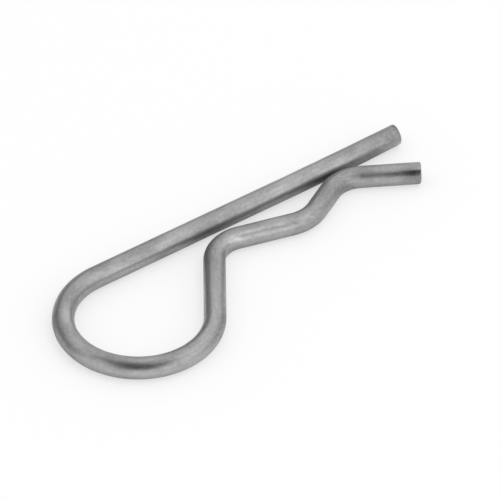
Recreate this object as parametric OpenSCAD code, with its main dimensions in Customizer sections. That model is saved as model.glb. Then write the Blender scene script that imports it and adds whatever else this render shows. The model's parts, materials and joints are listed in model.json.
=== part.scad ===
// R clip for a hitch pin: one length of round spring wire, bent in one plane.
// A straight leg passes through the cross hole of a shaft, a round eye is the spring,
// and a waved leg comes back over the shaft and holds it in a seat.
// It lies flat. +X runs along the straight leg to its free end, the waved leg is on the -Y
// side, and the origin is under the middle of the box, on the surface it lies on.

/* [Wire] */
// Diameter of the wire
wire_d = 4; // [3.2:0.1:5]
// Radius that the shears leave round each cut end
cut_edge = 0.35; // [0.1:0.05:1]

/* [Legs] */
// Straight leg, from the eye to its cut end
leg_length = 66.8; // [66:0.1:90]
// Flared tip of the waved leg, from the mouth bend to its cut end
tip_length = 10.7; // [4:0.1:13]

/* [Bends, inside radius] */
// Eye: the round spring loop
eye_bend = 11.25; // [9:0.05:14]
// Throat: the first crest, which closes the eye
throat_bend = 4.55; // [2:0.05:7]
// Seat: the hollow that lies on the shaft
seat_bend = 5.9; // [3:0.05:9]
// Mouth: the second crest, which the shaft snaps past
mouth_bend = 5; // [2:0.05:8]

/* [Gaps between the legs] */
// At the throat
throat_gap = 1.85; // [0.5:0.05:3]
// At the seat
seat_gap = 5.1; // [4:0.05:8]
// At the mouth
mouth_gap = 0.55; // [0.2:0.05:2]

/* [Slopes of the waved leg, in degrees to the straight leg] */
// From the eye down to the throat
neck_slope = 54.5; // [45:0.5:65]
// From the throat out to the seat
seat_slope = 15.4; // [12:0.1:19]
// From the seat in to the mouth
mouth_slope = 28.6; // [22:0.1:34]
// From the mouth out to the tip
flare_slope = 30.2; // [15:0.1:40]

/* [Hidden] */
$fn = 96;

// Forming draws the wire a little thinner in a bend, and a bend seats inside the straights it joins
bend_thinning = 0.04;
bend_seat = 0.05;

wire_r = wire_d / 2;
eye_r = eye_bend + wire_r;
throat_r = throat_bend + wire_r;
seat_r = seat_bend + wire_r;
mouth_r = mouth_bend + wire_r;

// How far the waved leg's centre line is from the straight leg's, at each bend
eye_rise = 2 * eye_r;
throat_rise = wire_d + throat_gap;
seat_rise = wire_d + seat_gap;
mouth_rise = wire_d + mouth_gap;

// Straight between two bends that lie a rise apart, at a slope, with centre line radii a and b
function ramp(rise, slope, a, b) = (rise - (a + b) * (1 - cos(slope))) / sin(slope);

neck_length = ramp(eye_rise - throat_rise, neck_slope, eye_r, throat_r);
seat_ramp = ramp(seat_rise - throat_rise, seat_slope, throat_r, seat_r);
mouth_ramp = ramp(seat_rise - mouth_rise, mouth_slope, seat_r, mouth_r);

// The wire's centre line from the straight leg's cut end to the tip:
// [length] is a straight, and [radius, angle] is a bend, with left turns positive
WIRE = [
    [leg_length],
    [eye_r, 180 + neck_slope],
    [neck_length],
    [throat_r, -neck_slope - seat_slope],
    [seat_ramp],
    [seat_r, seat_slope + mouth_slope],
    [mouth_ramp],
    [mouth_r, -mouth_slope - flare_slope],
    [tip_length]
];
last = len(WIRE) - 1;
overall = leg_length + eye_r + wire_r;

// Straight stretch of wire along +X from the origin
module straight(length) {
    rotate([0, 90, 0])
        cylinder(d = wire_d, h = length);
}

// Straight stretch whose far end is cut off square, with the edge rounded by the shears
module cut_straight(length) {
    rotate([0, 90, 0])
        rotate_extrude() {
            square([wire_r, length - cut_edge]);
            square([wire_r - cut_edge, length]);
            translate([wire_r - cut_edge, length - cut_edge])
                intersection() {
                    circle(r = cut_edge);
                    square(cut_edge);
                }
        }
}

// Bend that starts at the origin along +X and turns through an angle
module bend(radius, angle) {
    side = sign(angle);
    seat = bend_seat / radius * 180 / PI;
    translate([0, side * radius, 0])
        rotate_extrude(angle = angle + 2 * side * seat, start = -side * (90 + seat))
            translate([radius, 0])
                circle(d = wire_d - bend_thinning);
}

// The wire from one step of WIRE to the tip, each step on the end of the one before
module wire_from(i) {
    step = WIRE[i];
    if (i == 0) {
        translate([step[0], 0, 0])
            mirror([1, 0, 0])
                cut_straight(step[0]);
        translate([step[0], 0, 0])
            wire_from(i + 1);
    } else if (i == last) {
        cut_straight(step[0]);
    } else if (len(step) == 1) {
        straight(step[0]);
        translate([step[0], 0, 0])
            wire_from(i + 1);
    } else {
        centre = [0, sign(step[1]) * step[0], 0];
        bend(step[0], step[1]);
        translate(centre)
            rotate([0, 0, step[1]])
                translate(-centre)
                    wire_from(i + 1);
    }
}

module r_clip() {
    color("#A9ABAC")
        translate([overall / 2, eye_r, wire_r])
            rotate([0, 0, 180])
                wire_from(0);
}

r_clip();
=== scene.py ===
"""Hitch R clip of bright zinc-plated spring wire, lying on a white studio sweep."""

import json
import math
from collections import namedtuple

import bpy
from bpy.props import FloatProperty, FloatVectorProperty, PointerProperty
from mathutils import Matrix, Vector, noise


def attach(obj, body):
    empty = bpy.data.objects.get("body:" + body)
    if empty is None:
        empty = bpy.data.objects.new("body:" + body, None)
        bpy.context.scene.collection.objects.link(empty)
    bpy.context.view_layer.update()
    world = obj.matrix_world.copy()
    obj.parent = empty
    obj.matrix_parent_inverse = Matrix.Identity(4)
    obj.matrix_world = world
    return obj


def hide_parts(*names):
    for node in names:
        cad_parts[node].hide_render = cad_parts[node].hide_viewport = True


bl_info = {
    "name": "Hitch R Clip",
    "version": (1, 0, 0),
    "blender": (4, 5, 0),
    "location": "3D View > Sidebar > R Clip",
    "description": "Bends a zinc-plated spring wire into a hitch R clip and sets a studio round it",
    "category": "Object",
}

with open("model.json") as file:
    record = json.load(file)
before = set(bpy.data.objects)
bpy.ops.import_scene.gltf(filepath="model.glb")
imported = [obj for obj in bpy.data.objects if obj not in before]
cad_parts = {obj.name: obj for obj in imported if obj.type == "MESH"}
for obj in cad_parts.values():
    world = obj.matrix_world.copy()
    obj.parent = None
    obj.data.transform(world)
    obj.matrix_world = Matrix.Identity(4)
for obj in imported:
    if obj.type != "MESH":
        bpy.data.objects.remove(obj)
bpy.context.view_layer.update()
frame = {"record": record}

MM = 0.001
MOUNTS = {mount["name"]: mount for mount in frame["record"]["mounts"]}
LEG_MOUNT = MOUNTS["leg"]
EYE_CENTRE = Vector(MOUNTS["eye_pull"]["pos_m"])

# The straight leg's round wall, and the eye's centre line, as the frame states them
WIRE_RADIUS = LEG_MOUNT["dims"]["r_mm"] * MM
EYE_RADIUS = LEG_MOUNT["pos_m"][1] - EYE_CENTRE.y
CUT_EDGE = 0.35 * MM
LEG_END = LEG_MOUNT["pos_m"][0] + LEG_MOUNT["dims"]["length_mm"] * MM / 2 + CUT_EDGE


def linear(hex_colour):
    """sRGB hex, such as "#A9ABAC", as a linear RGBA colour, by the sRGB standard's curve."""
    channels = [int(hex_colour[i : i + 2], 16) / 255 for i in (1, 3, 5)]
    return [c / 12.92 if c <= 0.04045 else ((c + 0.055) / 1.055) ** 2.4 for c in channels] + [1.0]


def millimetres(name, value, description):
    """A length property, given in millimetres and kept in metres."""
    return FloatProperty(
        name=name, description=description, default=value * MM, min=0, unit="LENGTH", subtype="DISTANCE"
    )


def degrees(name, value, description):
    """An angle property, given in degrees."""
    return FloatProperty(
        name=name, description=description, default=math.radians(value), unit="ROTATION", subtype="ANGLE"
    )


def colour(name, hex_colour, description):
    """A colour property, given as sRGB hex."""
    return FloatVectorProperty(
        name=name, description=description, default=linear(hex_colour), size=4, min=0, max=1, subtype="COLOR"
    )


class RClipSizes(bpy.types.PropertyGroup):
    """Sizes of the bent wire."""

    wire_radius: millimetres("Wire radius", WIRE_RADIUS / MM, "Half the wire's diameter")
    leg_length: millimetres("Straight leg", (LEG_END - EYE_CENTRE.x) / MM, "From the eye to the cut end")
    tip_length: millimetres("Flared tip", 10.7, "From the mouth bend to the cut end")
    eye_radius: millimetres("Eye radius", EYE_RADIUS / MM, "Centre line of the round spring loop")
    throat_radius: millimetres("Throat radius", 6.55, "Centre line of the crest that closes the eye")
    seat_radius: millimetres("Seat radius", 7.9, "Centre line of the hollow that lies on the shaft")
    mouth_radius: millimetres("Mouth radius", 7.0, "Centre line of the crest that the shaft snaps past")
    throat_gap: millimetres("Throat gap", 1.85, "Between the legs at the throat")
    seat_gap: millimetres("Seat gap", 5.1, "Between the legs at the seat")
    mouth_gap: millimetres("Mouth gap", 0.55, "Between the legs at the mouth")
    neck_slope: degrees("Neck slope", 54.5, "From the eye down to the throat")
    seat_slope: degrees("Seat slope", 15.4, "From the throat out to the seat")
    mouth_slope: degrees("Mouth slope", 28.6, "From the seat in to the mouth")
    flare_slope: degrees("Flare slope", 30.2, "From the mouth out to the tip")
    leg_sweep: millimetres("Leg sweep", 0.3, "How far its free end bends away from the waved leg")
    cut_edge: millimetres("Cut edge", CUT_EDGE / MM, "Largest radius that the shears leave round a cut end")
    leg_cut_skew: degrees("Leg cut skew", 10.0, "How far the straight leg's cut is off square")
    tip_cut_skew: degrees("Tip cut skew", 1.5, "How far the tip's cut is off square")
    jaw_mark: millimetres("Jaw mark", 0.15, "How deep the shears pressed a flat beside each cut")
    waviness: millimetres("Waviness", 0.02, "Height of the drawn wire's shallow unevenness")


class RClipFinish(bpy.types.PropertyGroup):
    """Colours of the wire and the studio."""

    # Zinc runs from bright to dull by the clouds' random tone, and also by patches of painted highlight and
    # painted shade
    zinc: colour("Zinc", "#BCBCBC", "Bright zinc plate, where it is rubbed")
    zinc_dull: colour("Dull zinc", "#8C8C8C", "Zinc where the plate is thicker and greyer")
    bare_steel: colour("Cut steel", "#8A8987", "Bare steel on the sheared ends")
    torn_steel: colour("Torn steel", "#5C5B59", "Steel in the hollows of the torn part of a cut")
    sweep: colour("Sweep", "#F0F0F0", "Studio floor")
    surround: colour("Surround", "#FFFFFF", "Studio walls and ceiling")
    view_card: colour("Card at the camera", "#141414", "Dark card above the camera that the metal mirrors")
    back_card: colour("Card at the back", "#848484", "Dark grey card behind the clip that the metal mirrors")
    side_card: colour("Card at the side", "#CACACA", "Grey card at the front right that the metal mirrors")


def ramp_length(rise, angle, first_radius, second_radius):
    """Straight between two bends whose centre lines lie a rise apart."""
    return (rise - (first_radius + second_radius) * (1 - math.cos(angle))) / math.sin(angle)


def wire_steps(s):
    """The wire from the straight leg's cut end to the tip, as (length, turn), with left turns positive."""
    wire_d = 2 * s.wire_radius
    throat_rise = wire_d + s.throat_gap
    seat_rise = wire_d + s.seat_gap
    mouth_rise = wire_d + s.mouth_gap

    def bend(radius, turn):
        return radius * abs(turn), turn

    return [
        (s.leg_length, 0),
        bend(s.eye_radius, math.pi + s.neck_slope),
        (ramp_length(2 * s.eye_radius - throat_rise, s.neck_slope, s.eye_radius, s.throat_radius), 0),
        bend(s.throat_radius, -s.neck_slope - s.seat_slope),
        (ramp_length(seat_rise - throat_rise, s.seat_slope, s.throat_radius, s.seat_radius), 0),
        bend(s.seat_radius, s.seat_slope + s.mouth_slope),
        (ramp_length(seat_rise - mouth_rise, s.mouth_slope, s.seat_radius, s.mouth_radius), 0),
        bend(s.mouth_radius, -s.mouth_slope - s.flare_slope),
        (s.tip_length, 0),
    ]


RING_STEP = 0.25 * MM  # along the wire
RING_SIDES = 72
WORKED_REACH = 2.0 * MM  # how far past a bend the wire still shows that it was worked
SWEEP_SHARE = 0.4  # of the straight leg, at its free end, which isn't quite straight

Station = namedtuple("Station", "centre heading along curvature")


def centre_line(s):
    """Stations along the wire's centre line, a ring step apart."""
    centre = Vector((EYE_CENTRE.x + s.leg_length, EYE_CENTRE.y + s.eye_radius, s.wire_radius))
    heading = math.pi
    along = 0.0
    stations = []
    for length, turn in wire_steps(s):
        count = math.ceil(length / RING_STEP)
        step = length / count
        curvature = turn / length
        for _ in range(count):
            stations.append(Station(centre.copy(), heading, along, curvature))
            chord = 2 / curvature * math.sin(turn / count / 2) if turn else step
            middle = heading + turn / count / 2
            centre += chord * Vector((math.cos(middle), math.sin(middle), 0))
            heading += turn / count
            along += step
    stations.append(Station(centre.copy(), heading, along, 0.0))
    for station in stations:
        station.centre.y += s.leg_sweep * max(1 - station.along / (SWEEP_SHARE * s.leg_length), 0) ** 2
    return stations


def smooth_step(low, high, value):
    """0 below low, 1 above high, and a smooth rise between."""
    t = min(max((value - low) / (high - low), 0.0), 1.0)
    return t * t * (3 - 2 * t)


def worked_curvature(stations):
    """The centre line's curvature at each station, eased in and out over the reach of the bending tools."""
    reach = round(WORKED_REACH / RING_STEP)
    eased = []
    for i in range(len(stations)):
        near = stations[max(i - reach, 0) : i + reach + 1]
        eased.append(sum(station.curvature for station in near) / len(near))
    return eased


# In a bend the wire flattens a little, by this share of the square of wire radius over bend radius
OVALITY = 0.22
WAVE_LENGTH = Vector((4.0, 1.6, 1.6)) * MM
WORKED_GAIN = 3.0  # times wire radius over bend radius gives how worked the wire is, up to 1
DENT_FALL = 2.0  # how steeply a dent rises to its rim: at its radius a seventh of the depth is left

# Marks on the wall, in millimetres and degrees.
# Along is from the straight leg's cut, and the side is an angle round the wire.
Dent = namedtuple("Dent", "along side radius depth")
DENTS = (
    Dent(6.8, 12, 0.7, 0.08),
    Dent(154.1, 140, 0.7, 0.035),
    Dent(155.0, 167, 0.5, 0.03),
    Dent(167.4, 100, 0.6, 0.035),
)

# Patches of painted light on the plate. With a share above 0 a patch is a painted highlight, where the plate
# is drawn brighter, and with a share below 0 it is painted shade, where the plate is drawn duller. A patch
# has about a third of its share left at its length, or its width, from its middle.
Patch = namedtuple("Patch", "along side length width share")
PAINTED_LIGHT_PATCHES = (
    Patch(5, 70, 6, 2.4, -0.25),
    Patch(9, -15, 5, 1.2, -0.5),
    Patch(14, 45, 3, 1.2, 0.35),
    Patch(20, -20, 4, 1.1, -0.3),
    Patch(23, 105, 6, 1.8, 0.3),
    Patch(42, -5, 9, 1.2, -0.35),
    Patch(42, 45, 7, 1.2, -0.2),
    Patch(67, 115, 8, 1.4, -0.2),
    Patch(81, 70, 3, 1.2, 0.3),
    Patch(83, 155, 5, 1.6, -0.35),
    Patch(87, 105, 3, 1.2, 0.25),
    Patch(94, 75, 7, 1.6, -0.22),
    Patch(104, 130, 3, 1.0, -0.5),
    Patch(104, 195, 8, 1.8, 0.35),
    Patch(120, 145, 8, 1.0, -0.25),
    Patch(121, 75, 3, 1.6, 0.42),
    Patch(141, 65, 7, 1.2, -0.3),
    Patch(143, 160, 8, 1.4, 0.25),
    Patch(144, 132, 7, 0.8, 0.25),
    Patch(164, 100, 4, 1.6, -0.2),
    Patch(169, 160, 3, 1.2, -0.5),
    Patch(177, 75, 6, 1.4, -0.25),
    Patch(183, 155, 3, 1.2, -0.5),
)

# Patches that rubbing has polished, so that they mirror more sharply
POLISHED = (Patch(103, 127, 5, 2.2, 0.34),)


def off_mark(s, mark, along, angle):
    """How far a place on the wall is from a mark, lengthwise and round the wire, in millimetres."""
    turn = (angle - math.radians(mark.side) + math.pi) % math.tau - math.pi
    return along / MM - mark.along, turn * s.wire_radius / MM


def dented(s, along, angle):
    """Depth of the dents at a place on the wall."""
    depth = 0.0
    for dent in DENTS:
        lengthwise, round_wire = off_mark(s, dent, along, angle)
        reach = (lengthwise**2 + round_wire**2) / dent.radius**2
        depth += dent.depth * MM * math.exp(-DENT_FALL * reach)
    return depth


def patched(s, patches, along, angle):
    """Share that a group of patches has at a place on the wall."""
    share = 0.0
    for patch in patches:
        lengthwise, round_wire = off_mark(s, patch, along, angle)
        reach = (lengthwise / patch.length) ** 2 + (round_wire / patch.width) ** 2
        share += patch.share * math.exp(-reach)
    return share


def wall(s, along, angle, curvature):
    """Distance of the wire's wall from its centre line."""
    across, up = math.cos(angle), math.sin(angle)
    tightness = (s.wire_radius * curvature) ** 2
    flattened = OVALITY * tightness * across * across
    place = Vector((along, across * s.wire_radius, up * s.wire_radius))
    wave = noise.noise(Vector([p / w for p, w in zip(place, WAVE_LENGTH)]))
    return s.wire_radius * (1 - flattened) - s.waviness * (1 + wave) / 2 - dented(s, along, angle)


Cut = namedtuple("Cut", "skew long_side roll_side jaw_side")

# Sides are angles round the wire: 0 is to the left of its heading, and 90 degrees is up
LEG_LONG_SIDE = math.radians(200)
LEG_ROLL_SIDE = math.radians(100)
LEG_JAW_SIDE = math.radians(330)
TIP_LONG_SIDE = math.radians(60)
TIP_ROLL_SIDE = math.radians(250)
TIP_JAW_SIDE = math.radians(137)
JAW_REACH = 9.0 * MM
JAW_HALF_WIDTH = math.radians(58)

EDGE_RINGS = 7
FACE_RINGS = 12
SKEW_REACH = 2.4 * MM  # from a cut, where the wall's rings stand square again
CAP_REACH = 1.2 * MM  # from a cut, where the wall's rings start
ROLL_SHARE = 0.35  # the edge is roundest where the shears go in, and sharper where they come out
SCRAPED = 0.8  # how bare the wall is where the shears go in
PLATE_END = 0.75  # how far over the cut edge the plate reaches, as the sine of the edge's turn
TEAR_START = 0.35  # in wire radii from the middle, towards the side where the shears go in
TEAR_FULL = 0.05  # the same, where all the steel is torn
TEAR_INSET = 2 / FACE_RINGS  # share of the radius, from the rim, over which the torn part sets in
FRACTURE_DEPTH = 0.10 * MM  # the torn part of a cut lies behind the sheared part
FRACTURE_GRAIN = 0.03 * MM
GRAIN_LENGTH = 0.45 * MM


def jaw_share(cut, angle, from_cut):
    """How much of its depth the mark of the shears' jaw has, beside a cut."""
    off = abs((angle - cut.jaw_side + math.pi) % math.tau - math.pi)
    return (1 - smooth_step(0, JAW_HALF_WIDTH, off)) * (1 - smooth_step(0, JAW_REACH, from_cut))


def cut_shift(cut, across, up):
    """How far back a skew cut sets a place on the end of the wire. Below 0 is forward, at the long side."""
    towards = across * math.cos(cut.long_side) + up * math.sin(cut.long_side)
    return -math.tan(cut.skew) * towards


# The last share is painted light from the patches: painted highlight above 0, painted shade below 0
SURFACE_SHARES = ("worked", "bare", "burnished", "rubbed")
Spot = namedtuple("Spot", ("place", "straightened", *SURFACE_SHARES))


def surface_spot(s, station, forward, across, up, worked, bare, jaw):
    """A spot on the wire, given by how far forward, across and up it is from a station."""
    ahead = Vector((math.cos(station.heading), math.sin(station.heading), 0))
    left = Vector((-ahead.y, ahead.x, 0))
    place = station.centre + forward * ahead + across * left + Vector((0, 0, up))
    angle = math.atan2(up, across)
    burnished = min(jaw + patched(s, POLISHED, station.along, angle), 1.0)
    # Painted highlight, above 0, and painted shade, below 0, from the patches of painted light
    rubbed = patched(s, PAINTED_LIGHT_PATCHES, station.along, angle)
    return Spot(place, (station.along + forward, across, up), worked, bare, burnished, rubbed)


def wall_ring(s, station, curvature, leg_cut, tip_cut, from_tip):
    """Ring round the wall at a station, with what the two cuts do to the wall near them."""
    from_leg = station.along
    worked = min(abs(curvature) * s.wire_radius * WORKED_GAIN, 1.0)
    ring = []
    for k in range(RING_SIDES):
        angle = math.tau * k / RING_SIDES
        jaw = jaw_share(leg_cut, angle, from_leg) + jaw_share(tip_cut, angle, from_tip)
        radius = wall(s, station.along, angle, curvature) - s.jaw_mark * jaw
        across, up = radius * math.cos(angle), radius * math.sin(angle)
        leg_shift = cut_shift(leg_cut, across, up) * (1 - smooth_step(0, SKEW_REACH, from_leg))
        tip_shift = cut_shift(tip_cut, across, up) * (1 - smooth_step(0, SKEW_REACH, from_tip))
        ring.append(surface_spot(s, station, leg_shift - tip_shift, across, up, worked, 0.0, jaw))
    return ring


def end_rings(s, station, cut, inward):
    """Rings from the round wall over the cut edge and in towards the middle of the cut face.

    Inward is 1 where the wire lies ahead of the cut, and -1 where it lies behind."""
    rings = []
    for i in range(EDGE_RINGS + FACE_RINGS - 1):
        turn = math.pi / 2 * min(i / (EDGE_RINGS - 1), 1.0)
        face = max(i - EDGE_RINGS + 1, 0) / FACE_RINGS
        ring = []
        for k in range(RING_SIDES):
            angle = math.tau * k / RING_SIDES
            edge = s.cut_edge * (1 - ROLL_SHARE * (1 - math.cos(angle - cut.roll_side)))
            jaw = jaw_share(cut, angle, 0)
            rim = s.wire_radius - s.waviness - s.jaw_mark * jaw
            radius = (rim - edge * (1 - math.cos(turn))) * (1 - face)
            across, up = radius * math.cos(angle), radius * math.sin(angle)
            back = edge * (1 - math.sin(turn)) + cut_shift(cut, across, up)
            sheared = (across * math.cos(cut.roll_side) + up * math.sin(cut.roll_side)) / s.wire_radius
            torn = (1 - smooth_step(TEAR_FULL, TEAR_START, sheared)) * smooth_step(0, TEAR_INSET, face)
            # The skew only sets the grain of one cut apart from that of the other
            grain = noise.noise(Vector((across, up, cut.skew * MM)) / GRAIN_LENGTH)
            back += torn * (FRACTURE_DEPTH + FRACTURE_GRAIN * grain)
            scraped = SCRAPED * max(math.cos(angle - cut.roll_side), 0) ** 2
            bare = max(smooth_step(PLATE_END, 1.0, math.sin(turn)), scraped)
            ring.append(surface_spot(s, station, inward * back, across, up, 0.0, bare, jaw))
        rings.append(ring)
    return rings


def close_end(spots, faces, rim, order):
    """Fan of faces from an end's innermost ring to the middle of its cut face."""
    middle = len(spots)
    place = sum((spots[i].place for i in rim), Vector()) / RING_SIDES
    spots.append(Spot(place, spots[rim[0]].straightened, worked=0.0, bare=1.0, burnished=0.0, rubbed=0.0))
    for k in range(RING_SIDES):
        pair = (rim[k], rim[(k + 1) % RING_SIDES])
        faces.append((*pair[::order], middle))


def build_wire(s):
    """Mesh of the bent wire, closed at both cut ends.

    It keeps each spot's place on the straightened wire, how worked, bare and burnished the wire is there,
    and its share of painted highlight and painted shade, as attributes."""
    stations = centre_line(s)
    total = stations[-1].along
    leg_cut = Cut(s.leg_cut_skew, LEG_LONG_SIDE, LEG_ROLL_SIDE, LEG_JAW_SIDE)
    tip_cut = Cut(s.tip_cut_skew, TIP_LONG_SIDE, TIP_ROLL_SIDE, TIP_JAW_SIDE)

    rings = end_rings(s, stations[0], leg_cut, 1)[::-1]
    for station, curvature in zip(stations, worked_curvature(stations)):
        from_tip = total - station.along
        if min(station.along, from_tip) >= CAP_REACH:
            rings.append(wall_ring(s, station, curvature, leg_cut, tip_cut, from_tip))
    rings += end_rings(s, stations[-1], tip_cut, -1)

    spots = [spot for ring in rings for spot in ring]
    faces = []
    for i in range(len(rings) - 1):
        for k in range(RING_SIDES):
            a = i * RING_SIDES + k
            b = i * RING_SIDES + (k + 1) % RING_SIDES
            faces.append((a, b, b + RING_SIDES, a + RING_SIDES))
    tip_rim = range((len(rings) - 1) * RING_SIDES, len(rings) * RING_SIDES)
    close_end(spots, faces, range(RING_SIDES), -1)
    close_end(spots, faces, tip_rim, 1)

    mesh = bpy.data.meshes.new("r_clip_wire")
    mesh.from_pydata([spot.place for spot in spots], [], faces)
    mesh.update()
    kept = mesh.attributes.new("straightened", "FLOAT_VECTOR", "POINT")
    kept.data.foreach_set("vector", [x for spot in spots for x in spot.straightened])
    for name in SURFACE_SHARES:
        kept = mesh.attributes.new(name, "FLOAT", "POINT")
        kept.data.foreach_set("value", [getattr(spot, name) for spot in spots])
    mesh.shade_smooth()
    return mesh


def add(tree, kind, settings=None, links=None):
    """A node with its settings and input values, and links from other nodes' outputs to its inputs.

    An input is given by its name, or by its number where names repeat."""
    node = tree.nodes.new(kind)
    values = {}
    for name, value in (settings or {}).items():
        if isinstance(name, str) and hasattr(node, name):
            setattr(node, name, value)
        else:
            values[name] = value
    # Which inputs are in use depends on the settings, so they are looked up after those
    inputs = dict(enumerate(node.inputs))
    for socket in node.inputs:
        if socket.enabled:
            inputs.setdefault(socket.name, socket)
    for name, value in values.items():
        inputs[name].default_value = value
    for name, output in (links or {}).items():
        tree.links.new(output, inputs[name])
    return node


def result(node):
    """The output of a node that has one in use."""
    return next(socket for socket in node.outputs if socket.enabled)


def new_material(name):
    """An empty node material and its tree."""
    material = bpy.data.materials.new(name)
    material.use_nodes = True
    material.node_tree.nodes.clear()
    return material, material.node_tree


# Patterns of the plate and the steel, as noise along, across and up the straightened wire.
# The lines of the drawing die are about 0.05 mm apart and the crystals of the plate 0.01 mm across.
# Both are too fine to show, so they are drawn coarser.
Pattern = namedtuple("Pattern", "size detail")
PATTERNS = {
    "draw_lines": Pattern(Vector((14.0, 0.32, 0.32)) * MM, 2.0),
    "grain": Pattern(Vector((0.6, 0.5, 0.5)) * MM, 2.0),
    "clouds": Pattern(Vector((6.5, 2.6, 2.6)) * MM, 5.0),
    "scuffs": Pattern(Vector((1.6, 0.9, 0.9)) * MM, 3.0),
    "tears": Pattern(Vector((0.2, 0.2, 0.6)) * MM, 4.0),
}
FINE_SHARE = 0.6  # of each step of detail against the coarser one before it

# How high the patterns stand on the plate, and on the torn steel
PLATE_HEIGHTS = {"draw_lines": 0.003 * MM, "grain": 0.009 * MM, "clouds": 0.09 * MM}
TEAR_HEIGHT = 0.02 * MM

# What the patterns add to the plate's dullness, from 0 where it is brightest to 1 where it is dullest
PLATE_DULLNESS = {
    "clouds": {"From Min": 0.34, "From Max": 0.66, "To Min": 0.27, "To Max": 0.73},
    "grain": {"From Min": 0.3, "From Max": 0.7, "To Min": -0.14, "To Max": 0.14},
    "draw_lines": {"From Min": 0.3, "From Max": 0.7, "To Min": -0.06, "To Max": 0.06},
}

# Worked wire is scuffed where the pattern of the scuffs is high, and fully worked wire adds this there
SCUFFED_PART = {"From Min": 0.52, "From Max": 0.66}
SCUFF_DULLNESS = 0.2

# Roughness of the satin plate from brightest to dullest, of burnished plate and of sheared steel
SATIN_ROUGHNESS = {"To Min": 0.30, "To Max": 0.52}
BURNISHED_ROUGHNESS = 0.22
SHEARED_ROUGHNESS = 0.5


def zinc_plated_wire(finish):
    """Bright zinc plate over drawn spring steel wire.

    The plate is satin, with faint lines along the wire, a fine grain and soft clouds where it is thicker
    and duller. Patches of painted highlight draw it brighter, and patches of painted shade draw it duller.
    It is scuffed where the bending tools held it, and burnished where the shears' jaws pressed it and where
    the eye has worn smooth.
    The sheared ends are bare steel, dark and torn."""
    material, tree = new_material("zinc-plated drawn spring wire")
    place = add(tree, "ShaderNodeAttribute", {"attribute_name": "straightened"})
    share = {}
    for name in SURFACE_SHARES:
        share[name] = add(tree, "ShaderNodeAttribute", {"attribute_name": name}).outputs["Fac"]
    pattern = {}
    for name, (size, detail) in PATTERNS.items():
        stretched = add(
            tree, "ShaderNodeVectorMath", {"operation": "DIVIDE", 1: size}, {0: place.outputs["Vector"]}
        )
        texture = add(
            tree,
            "ShaderNodeTexNoise",
            {"Scale": 1.0, "Detail": detail, "Roughness": FINE_SHARE},
            {"Vector": result(stretched)},
        )
        pattern[name] = texture.outputs["Fac"]

    scuffed = add(tree, "ShaderNodeMapRange", SCUFFED_PART, {"Value": pattern["scuffs"]})
    held = add(tree, "ShaderNodeMath", {"operation": "MULTIPLY"}, {0: result(scuffed), 1: share["worked"]})
    dullness_and_painted_light = add(tree, "ShaderNodeMath", {"operation": "MULTIPLY", 1: SCUFF_DULLNESS}, {0: result(held)})
    for name, limits in PLATE_DULLNESS.items():
        more = add(tree, "ShaderNodeMapRange", limits, {"Value": pattern[name]})
        dullness_and_painted_light = add(tree, "ShaderNodeMath", {"operation": "ADD"}, {0: result(dullness_and_painted_light), 1: result(more)})
    # Patches of painted light: a painted highlight takes from the dullness, and painted shade, with its
    # share below 0, adds to it
    dullness_and_painted_light = add(tree, "ShaderNodeMath", {"operation": "SUBTRACT"}, {0: result(dullness_and_painted_light), 1: share["rubbed"]})

    plate = add(
        tree,
        "ShaderNodeMix",
        {"data_type": "RGBA", "A": finish.zinc, "B": finish.zinc_dull},
        {"Factor": result(dullness_and_painted_light)},
    )
    steel = add(
        tree,
        "ShaderNodeMix",
        {"data_type": "RGBA", "A": finish.bare_steel, "B": finish.torn_steel},
        {"Factor": pattern["tears"]},
    )
    shade = add(
        tree,
        "ShaderNodeMix",
        {"data_type": "RGBA"},
        {"Factor": share["bare"], "A": result(plate), "B": result(steel)},
    )

    satin = add(tree, "ShaderNodeMapRange", SATIN_ROUGHNESS, {"Value": result(dullness_and_painted_light)})
    smoothed = add(
        tree, "ShaderNodeMix", {"B": BURNISHED_ROUGHNESS}, {"Factor": share["burnished"], "A": result(satin)}
    )
    roughness = add(
        tree, "ShaderNodeMix", {"B": SHEARED_ROUGHNESS}, {"Factor": share["bare"], "A": result(smoothed)}
    )

    below = {}
    for name, height in PLATE_HEIGHTS.items():
        raised = add(tree, "ShaderNodeBump", {"Distance": height}, {"Height": pattern[name], **below})
        below = {"Normal": result(raised)}
    torn = add(
        tree,
        "ShaderNodeBump",
        {"Distance": TEAR_HEIGHT},
        {"Height": pattern["tears"], "Strength": share["bare"], **below},
    )
    bsdf = add(
        tree,
        "ShaderNodeBsdfPrincipled",
        {"Metallic": 1.0},
        {"Base Color": result(shade), "Roughness": result(roughness), "Normal": result(torn)},
    )
    add(tree, "ShaderNodeOutputMaterial", links={"Surface": result(bsdf)})
    return material


# Share of plain white in the floor, where the camera sees it and where metal or glass mirrors it
CAMERA_LIFT = 0.6
MIRRORED_LIFT = 0.02


def white_sweep(finish):
    """Matt white floor, lifted towards white where the camera, metal or glass sees it.

    It keeps its shadows."""
    material, tree = new_material("matt white studio sweep")
    path = add(tree, "ShaderNodeLightPath")
    mirrored = add(
        tree,
        "ShaderNodeMath",
        {"operation": "MAXIMUM"},
        {0: path.outputs["Is Glossy Ray"], 1: path.outputs["Is Transmission Ray"]},
    )
    weak = add(tree, "ShaderNodeMath", {"operation": "MULTIPLY", 1: MIRRORED_LIFT}, {0: result(mirrored)})
    lift = add(
        tree,
        "ShaderNodeMath",
        {"operation": "MULTIPLY_ADD", 1: CAMERA_LIFT},
        {0: path.outputs["Is Camera Ray"], 2: result(weak)},
    )
    matt = add(tree, "ShaderNodeBsdfDiffuse", {"Color": finish.sweep})
    glow = add(tree, "ShaderNodeEmission", {"Color": finish.surround, "Strength": 1.0})
    mixed = add(tree, "ShaderNodeMixShader", None, {0: result(lift), 1: result(matt), 2: result(glow)})
    add(tree, "ShaderNodeOutputMaterial", links={"Surface": result(mixed)})
    return material


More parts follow.
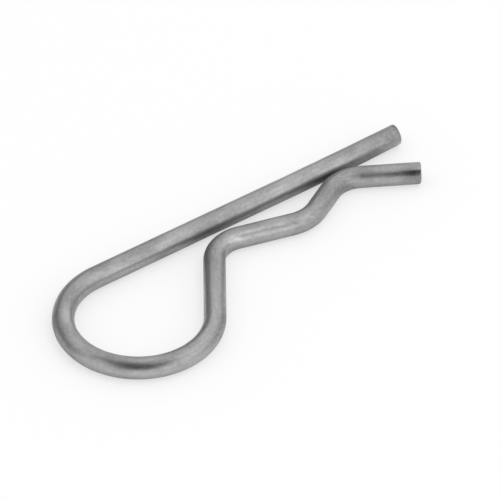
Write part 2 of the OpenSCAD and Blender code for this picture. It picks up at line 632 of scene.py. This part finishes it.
def painted_card(name, shade):
    """Matt paint on a card, which mirrors nothing itself."""
    material, tree = new_material(name)
    matt = add(tree, "ShaderNodeBsdfDiffuse", {"Color": shade})
    add(tree, "ShaderNodeOutputMaterial", links={"Surface": result(matt)})
    return material


def white_studio(finish):
    """World of even light, as from white walls and a white ceiling."""
    world = bpy.data.worlds.new("studio")
    world.use_nodes = True
    world.node_tree.nodes.clear()
    surround = add(world.node_tree, "ShaderNodeBackground", {"Color": finish.surround, "Strength": 1.0})
    add(world.node_tree, "ShaderNodeOutputWorld", links={"Surface": result(surround)})
    return world


class RCLIP_OT_bend_wire(bpy.types.Operator):
    """Bend the wire and plate it"""

    bl_idname = "rclip.bend_wire"
    bl_label = "Bend the wire"

    def execute(self, context):
        mesh = build_wire(context.scene.r_clip_sizes)
        piece = bpy.data.objects.new("r_clip_wire", mesh)
        context.collection.objects.link(piece)
        mesh.materials.append(zinc_plated_wire(context.scene.r_clip_finish))
        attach(piece, "root")
        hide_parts("r_clip")
        return {"FINISHED"}


# The stage's distances are in metres and its angles in degrees, as seen from the clip.
# Azimuth 0 is to its front, along -Y, and 90 degrees is along +X.
SWEEP_SIZE = 12.0
LAMP_DISTANCE = 1.3

# The camera looks down on the clip from its front left
VIEW_AIM = EYE_CENTRE + Vector((26.31, 3.223, 0.0)) * MM
VIEW_AZIMUTH = -36.21
VIEW_ELEVATION = 40.43
VIEW_DISTANCE = 1039.3 * MM
VIEW_LENS = 423.5  # in millimetres, as the sensor's width is
SENSOR_WIDTH = 36.0
VIEW_DEPTH = 20.0  # past the sweep's far corner

Card = namedtuple("Card", "name distance azimuth elevation half_width half_height")
CARDS = (
    Card("view_card", 1.6, -33, 58.5, 29.5, 37.5),
    Card("back_card", 1.6, 197, 14.5, 46, 18.5),
    Card("side_card", 1.9, 69.5, 9.5, 47.5, 8.5),
)
Lamp = namedtuple("Lamp", "name azimuth elevation half_width radiance")
LAMPS = (
    Lamp("overhead_softbox", 45, 70, 16, 0.75),
    Lamp("overhead_bounce", 34, 67, 13.5, 0.59),
    Lamp("overhead_spot", 16.5, 61, 9, 0.51),
    Lamp("front_softbox", 8.5, 25.5, 21, 0.75),
    Lamp("right_softbox", 48, 22, 12, 0.5),
)


def stand_off(thing, aim, distance, azimuth, elevation):
    """Stand a camera, a lamp or a card off an aim point, and turn it towards that."""
    turn, climb = math.radians(azimuth), math.radians(elevation)
    level = math.cos(climb)
    outward = Vector((math.sin(turn) * level, -math.cos(turn) * level, math.sin(climb)))
    thing.location = aim + distance * outward
    thing.rotation_euler = (math.pi / 2 - climb, 0, turn)


def flat_board(context, name, half_width, half_height, material):
    """Rectangular board, flat round the origin."""
    w, h = half_width, half_height
    mesh = bpy.data.meshes.new(name)
    mesh.from_pydata([(-w, -h, 0), (w, -h, 0), (w, h, 0), (-w, h, 0)], [], [(0, 1, 2, 3)])
    mesh.materials.append(material)
    board = bpy.data.objects.new(name, mesh)
    context.collection.objects.link(board)
    return board


def lay_sweep(context, finish):
    """Floor of the studio."""
    sweep = flat_board(context, "sweep", SWEEP_SIZE / 2, SWEEP_SIZE / 2, white_sweep(finish))


def hang_card(context, finish, card):
    """Card that only the metal sees."""
    half_width = card.distance * math.tan(math.radians(card.half_width))
    half_height = card.distance * math.tan(math.radians(card.half_height))
    paint = painted_card(card.name, getattr(finish, card.name))
    board = flat_board(context, card.name, half_width, half_height, paint)
    stand_off(board, Vector(), card.distance, card.azimuth, card.elevation)
    board.visible_camera = False
    board.visible_diffuse = False
    board.visible_shadow = False


def hang_lamp(context, lamp):
    """Round softbox with the same radiance all over its face."""
    softbox = bpy.data.lights.new(lamp.name, "AREA")
    softbox.shape = "DISK"
    softbox.size = 2 * LAMP_DISTANCE * math.tan(math.radians(lamp.half_width))
    face_area = math.pi * softbox.size**2 / 4
    softbox.energy = lamp.radiance * math.pi * face_area
    hung = bpy.data.objects.new(lamp.name, softbox)
    stand_off(hung, Vector(), LAMP_DISTANCE, lamp.azimuth, lamp.elevation)
    hung.visible_camera = False
    context.collection.objects.link(hung)


def set_camera(context):
    """Camera on the clip, which fills most of the frame's width."""
    lens = bpy.data.cameras.new("camera")
    lens.lens = VIEW_LENS
    lens.sensor_width = SENSOR_WIDTH
    lens.clip_end = VIEW_DEPTH
    camera = bpy.data.objects.new("camera", lens)
    context.collection.objects.link(camera)
    stand_off(camera, VIEW_AIM, VIEW_DISTANCE, VIEW_AZIMUTH, VIEW_ELEVATION)
    context.scene.camera = camera


class RCLIP_OT_set_stage(bpy.types.Operator):
    """Lay the sweep, light it and set the camera"""

    bl_idname = "rclip.set_stage"
    bl_label = "Set the stage"

    def execute(self, context):
        finish = context.scene.r_clip_finish
        lay_sweep(context, finish)
        for card in CARDS:
            hang_card(context, finish, card)
        for lamp in LAMPS:
            hang_lamp(context, lamp)
        context.scene.world = white_studio(finish)
        set_camera(context)
        context.scene.view_settings.view_transform = "Standard"
        return {"FINISHED"}


class RCLIP_PT_panel(bpy.types.Panel):
    """Sizes, colours and steps of the R clip"""

    bl_idname = "RCLIP_PT_panel"
    bl_label = "R Clip"
    bl_space_type = "VIEW_3D"
    bl_region_type = "UI"
    bl_category = "R Clip"

    def draw(self, context):
        layout = self.layout
        for group in (context.scene.r_clip_sizes, context.scene.r_clip_finish):
            box = layout.box()
            for name in group.__annotations__:
                box.prop(group, name)
        for step in STEPS:
            layout.operator(step.bl_idname)


STEPS = (RCLIP_OT_bend_wire, RCLIP_OT_set_stage)
CLASSES = (RClipSizes, RClipFinish, *STEPS, RCLIP_PT_panel)


def register():
    for cls in CLASSES:
        bpy.utils.register_class(cls)
    bpy.types.Scene.r_clip_sizes = PointerProperty(type=RClipSizes)
    bpy.types.Scene.r_clip_finish = PointerProperty(type=RClipFinish)


def unregister():
    del bpy.types.Scene.r_clip_finish
    del bpy.types.Scene.r_clip_sizes
    for cls in reversed(CLASSES):
        bpy.utils.unregister_class(cls)


def main():
    register()
    bpy.ops.rclip.bend_wire()
    bpy.ops.rclip.set_stage()


if __name__ == "__main__":
    main()
